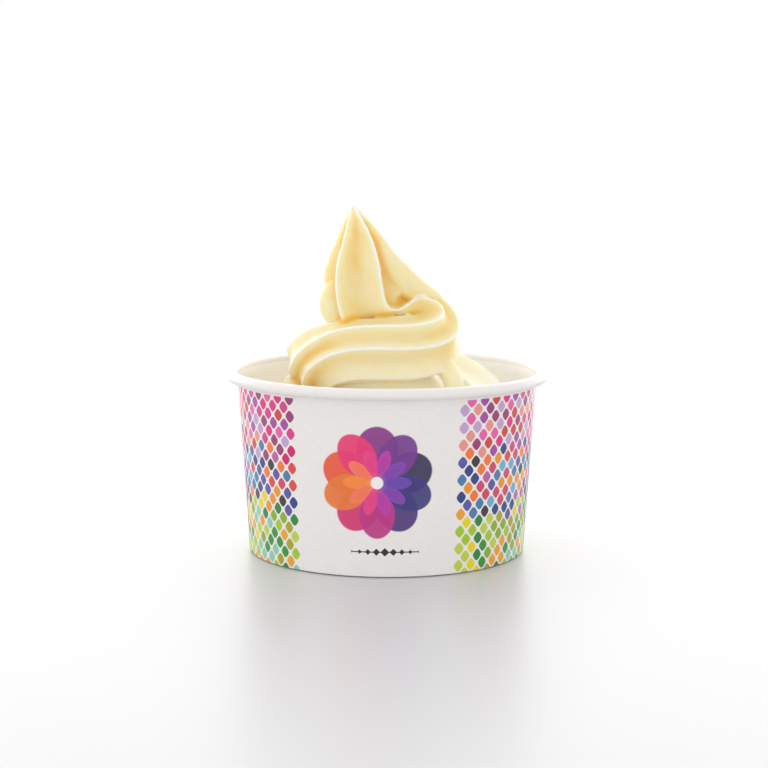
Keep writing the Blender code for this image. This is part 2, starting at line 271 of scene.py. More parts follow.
def wall_profile():
    """(radius, z, part) of the wall from its foot up, round the roll and down the inside."""
    roll_r = RIM_RADIUS - ROLL_RADIUS
    roll_z = CUP_HEIGHT - ROLL_RADIUS
    join_z = roll_z - ROLL_RADIUS * 0.72
    edge = 0.18
    # The outer sheet ends just above the ground, outside the hem that the cup stands on.
    found = [(wall_radius(0) - HEM_SET, 0.0, "hem"), (wall_radius(0) - HEM_SET, HEM_LIFT, "hem")]
    for degrees in np.linspace(-90.0, 0.0, 5):
        angle = math.radians(degrees)
        out = wall_radius(HEM_LIFT) + FOOT_ROUNDING * (math.cos(angle) - 1)
        found.append((out, HEM_LIFT + FOOT_ROUNDING * (1 + math.sin(angle)), "outside"))
    for z in np.linspace(1.0, join_z, 34):
        found.append((wall_radius(z), z, "outside"))
    for degrees in np.linspace(-138.0, 182.0, ROLL_SEGMENTS):
        angle = math.radians(degrees)
        place = (roll_r + ROLL_RADIUS * math.cos(angle), roll_z + ROLL_RADIUS * math.sin(angle))
        found.append((*place, "roll"))
    for z in np.linspace(roll_z - 1.0, HEM_HEIGHT, 30):
        found.append((wall_radius(z) - PAPER, z, "inside"))
    found.append((wall_radius(SKIRT_LIFT) - PAPER, SKIRT_LIFT + 0.1, "hem"))
    fold = PAPER + 2 * HEM_GAP
    found.append((wall_radius(SKIRT_LIFT) - PAPER - fold, SKIRT_LIFT + 0.1, "hem"))
    top = HEM_HEIGHT - PAPER - HEM_GAP
    for z in np.linspace(SKIRT_LIFT + 0.6, top, 8):
        found.append((wall_radius(z) - PAPER - fold, z, "hem"))
    for z in np.linspace(top, edge, 12):
        found.append((wall_radius(z) - 2 * PAPER - fold, z, "knurl"))
    found.append((wall_radius(0) - 2 * PAPER - fold + edge, 0.0, "hem"))
    return found


def cup_wall(printed, plain):
    """The printed sheet, its rolled rim and its folded hem, with the lap of its side seam."""
    profile = wall_profile()
    count = len(profile)
    radius = np.array([p[0] for p in profile])
    z = np.array([p[1] for p in profile])
    part = np.array([p[2] for p in profile])
    angles = np.linspace(0, 2 * math.pi, CUP_SEGMENTS, endpoint=False)
    vertices = np.zeros((CUP_SEGMENTS, count, 3))
    for i, angle in enumerate(angles):
        # Past the seam's edge the outer layer lies on the inner one and eases back to the wall.
        past = (math.degrees(angle) - SEAM_DEGREES + 180.0) % 360.0 - 180.0
        lap = math.radians(past) * FOOT_RADIUS / SEAM_WIDTH
        lift = (1 - smooth_step((lap - 0.6) / 0.8)) * smooth_step(lap * SEAM_WIDTH / 0.7)
        r = radius.copy()
        r[part == "outside"] += 0.32 * lift
        r[part == "inside"] -= 0.25 * lift
        near = math.exp(-((lap * SEAM_WIDTH / 0.6) ** 2))
        centre = RIM_RADIUS - ROLL_RADIUS
        rolled = part == "roll"
        r[rolled] = centre + (r[rolled] - centre) * (1 - 0.09 * near)
        r[part == "knurl"] += KNURL_DEPTH * math.cos(KNURLS * angle)
        vertices[i] = np.stack([r * math.cos(angle), r * math.sin(angle), z], axis=1)
    faces = rings_to_faces(CUP_SEGMENTS, count, True)
    coated = ("outside", "roll")
    slots = [int(part[f[0] % count] not in coated or part[f[3] % count] not in coated) for f in faces]
    obj = mesh_object("cup_wall_paper", vertices.reshape(-1, 3), faces, [printed, plain], slots)
    obj.data.set_sharp_from_angle(angle=math.radians(50.0))
    return obj


def cup_base(plain):
    """The base: a dished disc with its skirt turned down inside the hem."""
    top = HEM_HEIGHT + PAPER
    low = SKIRT_LIFT + HEM_GAP
    out_top = wall_radius(top) - PAPER - HEM_GAP
    out_low = wall_radius(low) - PAPER - HEM_GAP
    under = out_top - PAPER - HEM_GAP
    profile = [(r, HEM_HEIGHT) for r in np.linspace(0.4, under - 1.2, 20)]
    profile += [(under - 0.5, HEM_HEIGHT - 0.12), (under - 0.1, HEM_HEIGHT - 0.6)]
    profile += [(out_low - PAPER, low), (out_low, low)]
    profile += [(out_top, top - BASE_CORNER), (out_top - 0.3, top - 0.2), (out_top - BASE_CORNER, top)]
    profile += [(r, top) for r in np.linspace(out_top - 2.0, 0.4, 10)]
    count, segments = len(profile), 144
    vertices = []
    for i in range(segments):
        angle = 2 * math.pi * i / segments
        vertices += [(r * math.cos(angle), r * math.sin(angle), z) for r, z in profile]
    faces = [f for f in rings_to_faces(segments, count, True) if f[3] % count != 0]
    faces.append([i * count for i in range(segments)][::-1])
    faces.append([i * count + count - 1 for i in range(segments)])
    obj = mesh_object("cup_base_paper", vertices, faces, [plain])
    obj.data.set_sharp_from_angle(angle=math.radians(40.0))
    return obj


# The yogurt.


def coil_rows():
    rows = []
    steps = round((COIL_END - COIL_START) / COIL_STEP)
    for k in range(steps + 1):
        degrees = COIL_START + COIL_STEP * k
        inward = smooth_step((degrees - CLIMB_FROM) / (CLIMB_TO - CLIMB_FROM))
        radius = OUTER_COIL_RADIUS + (INNER_COIL_RADIUS - OUTER_COIL_RADIUS) * inward
        z = COIL_Z_START + COIL_Z_CLIMB * k / steps + COIL_Z_RISE * inward
        angle = math.radians(degrees)
        phase = PHASE_AT_END - PHASE_PER_DEGREE * (COIL_END - degrees)
        middle = (radius * math.cos(angle), radius * math.sin(angle), z)
        rows.append((*middle, COIL_HALF_WIDTH, COIL_HALF_HEIGHT, phase, COIL_FLUTE))
    return rows


def natural_spline(rows, per_row):
    """Rows on a smooth curve through the given ones, per_row to each."""
    rows = np.array(rows)
    count = len(rows)
    matrix, right = np.eye(count), np.zeros_like(rows)
    for i in range(1, count - 1):
        matrix[i, i - 1 : i + 2] = 1.0, 4.0, 1.0
        right[i] = 6 * (rows[i - 1] - 2 * rows[i] + rows[i + 1])
    bend = np.linalg.solve(matrix, right)
    found = []
    for i in range(count - 1):
        for t in np.arange(per_row) / per_row:
            u = 1 - t
            curve = (u**3 - u) * bend[i] + (t**3 - t) * bend[i + 1]
            found.append(u * rows[i] + t * rows[i + 1] + curve / 6)
    found.append(rows[-1])
    return np.array(found)


def carried_frames(points):
    """Two directions across the rope at each point, carried along it without twist."""
    along = np.gradient(points, axis=0)
    along /= np.linalg.norm(along, axis=1)[:, None]
    outward = np.zeros_like(points)
    start = np.array([points[0][0], points[0][1], 0.0])
    start -= start @ along[0] * along[0]
    outward[0] = start / np.linalg.norm(start)
    for i in range(len(points) - 1):
        step = points[i + 1] - points[i]
        size = step @ step
        side = outward[i] - 2 / size * (step @ outward[i]) * step
        ahead = along[i] - 2 / size * (step @ along[i]) * step
        turn = along[i + 1] - ahead
        if turn @ turn > 1e-12:
            side = side - 2 / (turn @ turn) * (turn @ side) * turn
        outward[i + 1] = side
    return outward, np.cross(outward, along)


def star_section(flute):
    """(angle in degrees, share of the full radius) round the star."""
    low_point = FLUTE_START / (FLUTE_START + FLUTE_END)
    deepest = low_point**FLUTE_START * (1 - low_point) ** FLUTE_END
    found = []
    for k, low in enumerate(STAR_POINTS):
        high = STAR_POINTS[(k + 1) % len(STAR_POINTS)] + (360.0 if k == len(STAR_POINTS) - 1 else 0.0)
        for step in range(SECTION_STEPS):
            t = step / SECTION_STEPS
            hollow = t**FLUTE_START * (1 - t) ** FLUTE_END / deepest
            hollow = math.sqrt(hollow**2 + EDGE_ROUNDING**2) - EDGE_ROUNDING
            found.append((low + (high - low) * t, 1 - flute * hollow))
    return found


def rope():
    """(vertices, faces) of the closed tube that the piped yogurt is, from the cup to the peak."""
    rows = natural_spline(coil_rows() + list(TOP_ROWS), STATIONS_PER_ROW)
    middle = rows[:, :3]
    outward, up = carried_frames(middle)
    vertices = []
    for i, row in enumerate(rows):
        half_width, half_height, phase, flute = row[3:]
        section = np.array(star_section(flute))
        angle = np.radians(section[:, 0] + phase)
        across = (section[:, 1] * half_width * np.cos(angle))[:, None] * outward[i]
        rise = (section[:, 1] * half_height * np.sin(angle))[:, None] * up[i]
        vertices.append(middle[i] + across + rise)
    ring = SECTION_STEPS * len(STAR_POINTS)
    vertices = np.concatenate(vertices)
    faces = [tuple(reversed(f)) for f in rings_to_faces(len(rows), ring, False)]
    faces.append(tuple(reversed(range(ring))))
    faces.append(tuple(range(len(vertices) - ring, len(vertices))))
    return vertices, faces


def crest_fields(places, vertices):
    """How far each place is from the rope's nearest crest, and on which side, in millimetres."""
    ring = SECTION_STEPS * len(STAR_POINTS)
    grid = vertices[: len(vertices) // ring * ring].reshape(-1, ring, 3)
    columns = np.arange(len(STAR_POINTS)) * SECTION_STEPS
    crests = grid[:, columns]
    along = np.gradient(crests, axis=0)
    along /= np.linalg.norm(along, axis=2)[:, :, None] + 1e-9
    across = grid[:, columns + 1] - grid[:, columns - 1]
    across /= np.linalg.norm(across, axis=2)[:, :, None] + 1e-9
    crests, along, across = (a.reshape(-1, 3) for a in (crests, along, across))
    tree = mathutils.kdtree.KDTree(len(crests))
    for i, crest in enumerate(crests):
        tree.insert(crest, i)
    tree.balance()
    nearest = np.array([tree.find(place)[1] for place in places])
    off = places - crests[nearest]
    off -= (off * along[nearest]).sum(axis=1)[:, None] * along[nearest]
    return np.minimum(np.linalg.norm(off, axis=1), CREST_REACH), (off * across[nearest]).sum(axis=1)


def seam_field(places, vertices):
    """1 where two stretches of the rope meet, and less with the distance from there."""
    ring = SECTION_STEPS * len(STAR_POINTS)
    grid = vertices[: len(vertices) // ring * ring].reshape(-1, ring, 3)
    first = len(coil_rows())
    distances = []
    for stretch in SEAM_STRETCHES:
        start, end = (round((first + row) * STATIONS_PER_ROW) for row in stretch)
        points = grid[start:end:2].reshape(-1, 3)
        tree = mathutils.kdtree.KDTree(len(points))
        for i, point in enumerate(points):
            tree.insert(point, i)
        tree.balance()
        distances.append([tree.find(place)[2] for place in places])
    second = np.sort(np.array(distances), axis=0)[1]
    near, far = SEAM_REACH
    return np.clip(1 - (second - near) / (far - near), 0.0, 1.0)


def fold(points, radii):
    """(vertices, faces) of a short tube with round ends, bent through three points."""
    first, middle, last = (np.array(p) for p in points)
    bend = 2 * middle - (first + last) / 2
    steps = np.linspace(0.0, 1.0, FOLD_STEPS + 1)
    line = np.array([(1 - t) ** 2 * first + 2 * t * (1 - t) * bend + t**2 * last for t in steps])
    swell = 2 * radii[1] - (radii[0] + radii[2]) / 2
    size = (1 - steps) ** 2 * radii[0] + 2 * steps * (1 - steps) * swell + steps**2 * radii[2]
    outward, up = carried_frames(line)
    along = np.cross(up, outward)
    rings = []
    for angle in -np.radians(FOLD_END_ANGLES[::-1]):
        rings.append((line[0] + size[0] * math.sin(angle) * along[0], size[0] * math.cos(angle), 0))
    rings += [(line[i], size[i], i) for i in range(FOLD_STEPS + 1)]
    for angle in np.radians(FOLD_END_ANGLES):
        rings.append((line[-1] + size[-1] * math.sin(angle) * along[-1], size[-1] * math.cos(angle), -1))
    vertices = []
    for centre, radius, i in rings:
        for k in range(FOLD_SIDES):
            angle = 2 * math.pi * k / FOLD_SIDES
            vertices.append(centre + radius * (math.cos(angle) * outward[i] + math.sin(angle) * up[i]))
    faces = [tuple(reversed(f)) for f in rings_to_faces(len(rings), FOLD_SIDES, False)]
    faces.append(tuple(reversed(range(FOLD_SIDES))))
    faces.append(tuple(range(len(vertices) - FOLD_SIDES, len(vertices))))
    return np.array(vertices), faces


def turned_solid(profile, segments):
    """(vertices, faces) of a solid turned from an open profile, from the axis round to the axis."""
    rings = profile[1:-1]
    vertices = [(0.0, 0.0, profile[0][1])]
    for i in range(segments):
        angle = 2 * math.pi * i / segments
        vertices += [(r * math.cos(angle), r * math.sin(angle), z) for r, z in rings]
    vertices.append((0.0, 0.0, profile[-1][1]))
    count, last, faces = len(rings), len(vertices) - 1, []
    for i in range(segments):
        here, there = 1 + i * count, 1 + (i + 1) % segments * count
        faces.append((0, there, here))
        for k in range(count - 1):
            faces.append((here + k, there + k, there + k + 1, here + k + 1))
        faces.append((here + count - 1, there + count - 1, last))
    return np.array(vertices), faces


def core():
    """What lies under the coils: the cup filled to its wall, then a mound to the peak."""
    floor = HEM_HEIGHT + PAPER - CORE_SUNK
    profile = [
        (0.0, floor),
        (wall_radius(floor) + CORE_OVERLAP, floor),
        (wall_radius(FILL_TOP) + CORE_OVERLAP, FILL_TOP),
        *CORE_MOUND,
    ]
    return turned_solid(profile, CORE_SEGMENTS)


def inside_of_cup():
    """The cup's inside, a little clear of the paper, and open far above the rim."""
    floor = HEM_HEIGHT + PAPER + FOOD_GAP
    above = 2 * CUP_HEIGHT + CUTTER_RISE
    profile = [
        (0.0, floor),
        (wall_radius(floor) - PAPER - FOOD_GAP - BASE_CORNER, floor),
        (wall_radius(floor) - PAPER - FOOD_GAP, floor + BASE_CORNER),
        (wall_radius(above) - PAPER - FOOD_GAP, above),
        (0.0, above),
    ]
    return turned_solid(profile, CUTTER_SEGMENTS)


def apply_modifiers(obj):
    """Puts the evaluated mesh in the modifiers' place."""
    graph = bpy.context.evaluated_depsgraph_get()
    mesh = bpy.data.meshes.new_from_object(obj.evaluated_get(graph))
    obj.modifiers.clear()
    obj.data = mesh


def mesh_arrays(mesh):
    """(places in millimetres, normals, edges) of a mesh."""
    places = np.zeros(len(mesh.vertices) * 3)
    mesh.vertices.foreach_get("co", places)
    normals = np.zeros(len(mesh.vertices) * 3)
    mesh.vertices.foreach_get("normal", normals)
    edges = np.zeros(len(mesh.edges) * 2, int)
    mesh.edges.foreach_get("vertices", edges)
    return places.reshape(-1, 3) / MM, normals.reshape(-1, 3), edges.reshape(-1, 2)


def spread_out(values, edges, rounds):
    """Values at a mesh's vertices after being averaged with their neighbours' that many times."""
    count = np.bincount(edges.ravel(), minlength=len(values)).astype(float)[:, None]
    values = values.reshape(len(values), -1)
    for _ in range(rounds):
        total = np.zeros_like(values)
        for axis in range(values.shape[1]):
            near = np.bincount(edges[:, 0], values[edges[:, 1], axis], len(values))
            near += np.bincount(edges[:, 1], values[edges[:, 0], axis], len(values))
            total[:, axis] = near
        values = 0.5 * values + 0.5 * total / count
    return values


def add_field(mesh, name, values):
    field = mesh.attributes.new(name, "FLOAT", "POINT")
    field.data.foreach_set("value", np.asarray(values, np.float32).ravel())


def ripples(places):
    """Faint waves in the yogurt's skin, in millimetres."""
    x, y, z = places.T
    wave = np.sin(0.55 * x + 0.9 * z + 1.3 * np.sin(0.31 * y + 0.2 * z))
    wave += 0.8 * np.sin(0.83 * y - 0.61 * z + 1.1 * np.sin(0.37 * x))
    wave += 0.5 * np.sin(1.7 * z + 0.9 * np.sin(0.5 * x + 0.45 * y))
    return wave / 2.3


def bend_creases_round(mesh):
    """Rounds the creases where coils meet, and leaves the ridges and flutes as they are."""
    for _ in range(CREASE_ROUNDS):
        places, normals, edges = mesh_arrays(mesh)
        near = spread_out(places, edges, BEND_ROUNDS)
        depth = ((near - places) * normals).sum(axis=1)
        places += smooth_step(depth / CREASE_DEPTH)[:, None] * (near - places)
        mesh.vertices.foreach_set("co", (places * MM).ravel())
        mesh.update()


def lay_on(mesh, vertices, faces):
    """Evens out the mesh, then lays what is near the rope's own surface back onto it."""
    tree = mathutils.bvhtree.BVHTree.FromPolygons(vertices.tolist(), faces)
    places, normals, edges = mesh_arrays(mesh)
    places = spread_out(places, edges, SMOOTHING_ROUNDS)
    laid = places.copy()
    for i, place in enumerate(places):
        found, facing, _, _ = tree.find_nearest(place, LAY_WITHIN)
        if found is not None and facing.dot(normals[i]) > SAME_FACING:
            laid[i] = found
    bent = ((spread_out(places, edges, BEND_ROUNDS) - places) * normals).sum(axis=1)
    share = 1 - smooth_step(bent / (CREASE_DEPTH / 2))
    laid = places + share[:, None] * (laid - places)
    mesh.vertices.foreach_set("co", (laid * MM).ravel())
    mesh.update()


def roughen(mesh):
    """Gives the skin its faint waves, except against the paper, at the peak and out of sight."""
    places, normals, edges = mesh_arrays(mesh)
    x, y, z = places.T
    inside = np.hypot(x, y) < wall_radius(z) - PAPER - FOOD_GAP - RIPPLE_CLEARANCE
    height = ripples(places) * RIPPLE * (inside & (z < RIPPLE_BELOW) & (z > FILL_TOP))
    places = places + normals * height[:, None]
    mesh.vertices.foreach_set("co", (places * MM).ravel())
    mesh.update()
    mesh.shade_smooth()


def add_colour_fields(mesh, piped):
    """What the yogurt's colour, with its painted shade, painted light and painted highlights, goes by:
    hollows, creases, seams and the rope's crests.
    """
    places, normals, edges = mesh_arrays(mesh)
    hollow, crease = (
        ((spread_out(places, edges, rounds) - places) * normals).sum(axis=1)
        for rounds in (WIDE_ROUNDS, NARROW_ROUNDS)
    )
    off, side = crest_fields(places, piped)
    seam = seam_field(places, piped)
    add_field(mesh, "seam", spread_out(seam, edges, FIELD_ROUNDS))
    add_field(mesh, "crease", spread_out(crease, edges, FIELD_ROUNDS))
    add_field(mesh, "hollow", spread_out(hollow, edges, FIELD_ROUNDS))
    add_field(mesh, "crest_off", off)
    add_field(mesh, "crest_side", side)


def frozen_yogurt(material):
    """The rope, its core and its folds, fused into one skin and cut to the inside of the cup."""
    vertices, faces = rope()
    piped = vertices
    for more_vertices, more_faces in [core()] + [fold(p, r) for name, p, r in FOLDS]:
        faces += [tuple(len(vertices) + i for i in face) for face in more_faces]
        vertices = np.concatenate([vertices, more_vertices])
    food = mesh_object("yogurt_swirl", vertices, faces, [material])
    remesh = food.modifiers.new("Remesh", "REMESH")
    remesh.mode = "VOXEL"
    remesh.voxel_size = VOXEL * MM
    remesh.use_smooth_shade = True
    apply_modifiers(food)
    bend_creases_round(food.data)
    lay_on(food.data, vertices, faces)
    thin = food.modifiers.new("Decimate", "DECIMATE")
    food.data.calc_loop_triangles()
    thin.ratio = min(1.0, KEPT_TRIANGLES / len(food.data.loop_triangles))
    apply_modifiers(food)
    cutter = mesh_object("inside_of_cup", *inside_of_cup(), [])
    cut = food.modifiers.new("Boolean", "BOOLEAN")
    cut.operation = "INTERSECT"
    cut.object = cutter
    cut.solver = "EXACT"
    apply_modifiers(food)
    bpy.data.objects.remove(cutter, do_unlink=True)
    roughen(food.data)
    add_colour_fields(food.data, piped)
    return food


# Materials. Each graph helper makes one node and returns its output.


class Graph:
    """The node tree of a new material, with short calls for the nodes it needs."""

    def __init__(self, name):
        self.material = bpy.data.materials.new(name)
        self.material.use_nodes = True
        self.tree = self.material.node_tree
        self.shader = self.tree.nodes["Principled BSDF"]

    def node(self, kind, **settings):
        made = self.tree.nodes.new(kind)
        for name, value in settings.items():
            setattr(made, name, value)
        return made

    def feed(self, socket, value):
        if isinstance(value, bpy.types.NodeSocket):
            self.tree.links.new(value, socket)
        else:
            socket.default_value = value

    def maths(self, operation, *values, clamp=False):
        made = self.node("ShaderNodeMath", operation=operation, use_clamp=clamp)
        for socket, value in zip(made.inputs, values):
            self.feed(socket, value)
        return made.outputs[0]

    def times(self, *values):
        product = values[0]
        for value in values[1:]:
            product = self.maths("MULTIPLY", product, value)
        return product

    def between(self, value, limits):
        """0 up to the first limit and 1 from the second one on, which may be the lower."""
        start, end = limits
        slope = 1 / (end - start)
        return self.maths("MULTIPLY_ADD", value, slope, -start * slope, clamp=True)

    def field(self, name):
        return self.node("ShaderNodeAttribute", attribute_name=name).outputs["Fac"]

    def place(self):
        return self.node("ShaderNodeTexCoord").outputs["Object"]

    def axes(self, place):
        parts = self.node("ShaderNodeSeparateXYZ")
        self.feed(parts.inputs[0], place)
        return parts.outputs

    def mix(self, share, first, second, blend="MIX"):
        made = self.node("ShaderNodeMix", data_type="RGBA", blend_type=blend)
        self.feed(made.inputs["Factor"], share)
        self.feed(made.inputs[6], first)
        self.feed(made.inputs[7], second)
        return made.outputs[2]

    def ramp(self, share, stops, steps=False):
        made = self.node("ShaderNodeValToRGB")
        made.color_ramp.interpolation = "CONSTANT" if steps else "EASE"
        elements = made.color_ramp.elements
        while len(elements) < len(stops):
            elements.new(0.5)
        for element, (place, value) in zip(elements, sorted(stops)):
            element.position = place
            element.color = value
        self.feed(made.inputs[0], share)
        return made.outputs[0]

    def noise(self, place, scale, detail=3.0, roughness=0.5):
        made = self.node("ShaderNodeTexNoise")
        self.feed(made.inputs["Vector"], place)
        made.inputs["Scale"].default_value = scale
        made.inputs["Detail"].default_value = detail
        made.inputs["Roughness"].default_value = roughness
        return made.outputs["Fac"]

    def bump(self, height, strength, distance, under=None):
        made = self.node("ShaderNodeBump")
        made.inputs["Strength"].default_value = strength
        made.inputs["Distance"].default_value = distance
        self.feed(made.inputs["Height"], height)
        if under is not None:
            self.feed(made.inputs["Normal"], under)
        return made.outputs[0]

    def set(self, **values):
        for name, value in values.items():
            self.feed(self.shader.inputs[name.replace("_", " ")], value)


def paper_finish(graph, place):
    """The board's fine tooth and faint cloudiness, and the thin gloss of its coating."""
    tooth = graph.bump(graph.noise(place, 2600.0, 3.0, 0.6), 0.1, 0.00002)
    wave = graph.bump(graph.noise(place, 60.0, 2.0), 0.12, 0.0004, tooth)
    graph.set(Roughness=0.42, Specular_IOR_Level=0.5, Coat_Weight=0.15, Coat_Roughness=0.3, Normal=wave)


def plain_paper():
    """The board's inside: a little light comes through it."""
    graph = Graph("plain_paper")
    place = graph.place()
    cloud = graph.noise(place, 900.0, 4.0, 0.7)
    tint = graph.ramp(cloud, [(0.3, colour("fdf8f0")), (0.7, colour("fffbf5"))])
    graph.set(Base_Color=tint, Subsurface_Weight=0.9)
    graph.set(Subsurface_Radius=(1.0, 0.75, 0.5), Subsurface_Scale=0.002)
    paper_finish(graph, place)
    return graph.material


def pick(graph, share, codes):
    """One of the colours, evenly by share."""
    return graph.ramp(share, [(k / len(codes), colour(c)) for k, c in enumerate(codes)], steps=True)


def lozenges(graph, turn, z, paper):
    """The paper's colour with the scattered lozenges printed on its side panels."""
    columns = round(2 * math.pi * (FOOT_RADIUS + 1.6) / MOTIF_PITCH)
    across = graph.maths("MULTIPLY", turn, columns / (2 * math.pi))
    down = graph.maths("DIVIDE", z, 2 * MOTIF_ROW * MM)
    first = graph.maths("ADD", down, across)
    second = graph.maths("SUBTRACT", down, across)
    cells, reach = [], []
    for value in (first, second):
        cell = graph.maths("FLOOR", value)
        cells.append(cell)
        off = graph.maths("SUBTRACT", graph.maths("SUBTRACT", value, cell), 0.5)
        off = graph.maths("DIVIDE", graph.maths("ABSOLUTE", off), MOTIF_SIZE)
        reach.append(graph.maths("POWER", off, MOTIF_ROUNDING))
    edge = graph.maths("SUBTRACT", 1.0, graph.maths("ADD", *reach))
    motif = graph.maths("MULTIPLY", edge, 14.0, clamp=True)
    cell_turn = graph.maths("MULTIPLY", graph.maths("SUBTRACT", *cells), math.pi / columns)
    cell_z = graph.maths("MULTIPLY", graph.maths("ADD", graph.maths("ADD", *cells), 1.0), MOTIF_ROW)
    place = graph.node("ShaderNodeCombineXYZ")
    graph.feed(place.inputs[0], cells[0])
    graph.feed(place.inputs[1], cells[1])
    place.inputs[2].default_value = 7.0
    chance = graph.node("ShaderNodeTexWhiteNoise", noise_dimensions="3D")
    graph.feed(chance.inputs["Vector"], place.outputs[0])
    parts = graph.node("ShaderNodeSeparateColor")
    graph.feed(parts.inputs[0], chance.outputs["Color"])
    stray = graph.maths("SUBTRACT", parts.outputs[1], 0.5)
    shown_z = graph.maths("ADD", cell_z, graph.maths("MULTIPLY", stray, BAND_MIXING))
    ink = pick(graph, parts.outputs[0], LOW_BAND)
    for edge_z, codes in zip(BAND_EDGES, (MIDDLE_BAND, TOP_BAND)):
        higher = graph.maths("GREATER_THAN", shown_z, edge_z)
        ink = graph.mix(higher, ink, pick(graph, parts.outputs[0], codes))
    left = graph.maths("LESS_THAN", cell_turn, math.radians(PLAIN_FROM))
    right = graph.maths("GREATER_THAN", cell_turn, math.radians(PLAIN_TO))
    below = graph.maths("LESS_THAN", z, PRINT_HIGH * MM)
    above = graph.maths("GREATER_THAN", z, PRINT_LOW * MM)
    share = graph.times(motif, graph.maths("MAXIMUM", left, right), below, above)
    return graph.mix(share, paper, ink)


def panel_place(graph, turn, z, middle):
    """Millimetres to the right of and above a place on the cup, given by its angle and height."""
    off = graph.maths("SUBTRACT", turn, math.radians(middle[0]))
    x = graph.maths("MULTIPLY", off, wall_radius(middle[1]))
    y = graph.maths("SUBTRACT", graph.maths("DIVIDE", z, MM), middle[1])
    return x, y


def rosette(graph, turn, z, under):
    """A round flower of overlapping petals, warm at its left and dark at its right."""
    x, y = panel_place(graph, turn, z, ROSETTE_PLACE)
    far = graph.maths("SQRT", graph.maths("ADD", graph.times(x, x), graph.times(y, y)))
    round_it = graph.maths("ARCTAN2", y, x)
    painted = under
    for count, first, middle, length, width, codes in PETAL_RINGS:
        step = 2 * math.pi / count
        off = graph.maths("SUBTRACT", round_it, math.radians(first))
        cell = graph.maths("ROUND", graph.maths("DIVIDE", off, step))
        centre = graph.maths("MULTIPLY", cell, step)
        local = graph.maths("SUBTRACT", off, centre)
        along = graph.times(far, graph.maths("COSINE", local))
        along = graph.maths("DIVIDE", graph.maths("SUBTRACT", along, middle), length)
        across = graph.maths("DIVIDE", graph.times(far, graph.maths("SINE", local)), width)
        reach = graph.maths("ADD", graph.times(along, along), graph.times(across, across))
        mask = graph.maths("MULTIPLY", graph.maths("SUBTRACT", 1.0, reach), 9.0, clamp=True)
        side = graph.maths("COSINE", graph.maths("ADD", centre, math.radians(first)))
        share = graph.maths("MULTIPLY_ADD", side, -0.5, 0.5)
        ink = graph.ramp(share, [(k / (len(codes) - 1), colour(c)) for k, c in enumerate(codes)])
        veins = graph.maths("MULTIPLY", reach, 0.15)
        veined = graph.mix(veins, ink, colour("ffffff"), "SOFT_LIGHT")
        painted = graph.mix(graph.maths("MULTIPLY", mask, 0.97), painted, veined)
    heart = graph.maths("MULTIPLY", graph.maths("SUBTRACT", HEART_RADIUS, far), 4.0, clamp=True)
    return graph.mix(heart, painted, colour("fbf7f4"))


def divider(graph, turn, z, under):
    """A small dark chain of lozenges on a fine rule, the largest in its middle."""
    x, y = panel_place(graph, turn, z, DIVIDER_PLACE)
    near = graph.maths("ABSOLUTE", x)
    height = graph.maths("ABSOLUTE", y)
    cell = graph.maths("ROUND", graph.maths("DIVIDE", near, CHAIN_PITCH))
    centre = graph.maths("MULTIPLY", cell, CHAIN_PITCH)
    local = graph.maths("ABSOLUTE", graph.maths("SUBTRACT", near, centre))
    size = graph.maths("MULTIPLY_ADD", cell, -CHAIN_TAPER, CHAIN_SIZE)
    chain = graph.maths("LESS_THAN", graph.maths("ADD", local, height), size)
    rule = graph.maths("LESS_THAN", height, RULE_HALF_WIDTH)
    within = graph.maths("LESS_THAN", near, RULE_HALF_LENGTH)
    shown = graph.times(graph.maths("MAXIMUM", chain, rule), within)
    return graph.mix(shown, under, colour("2a2228"))


def printed_paper():
    graph = Graph("printed_paper")
    place = graph.place()
    x, y, z = graph.axes(place)
    turn = graph.maths("ARCTAN2", x, graph.maths("MULTIPLY", y, -1.0))
    cloud = graph.noise(place, 900.0, 4.0, 0.7)
    paper = graph.ramp(cloud, [(0.3, colour("f3efec")), (0.7, colour("f6f3f0"))])
    painted = lozenges(graph, turn, z, paper)
    painted = rosette(graph, turn, z, painted)
    painted = divider(graph, turn, z, painted)
    graph.set(Base_Color=painted)
    paper_finish(graph, place)
    return graph.material


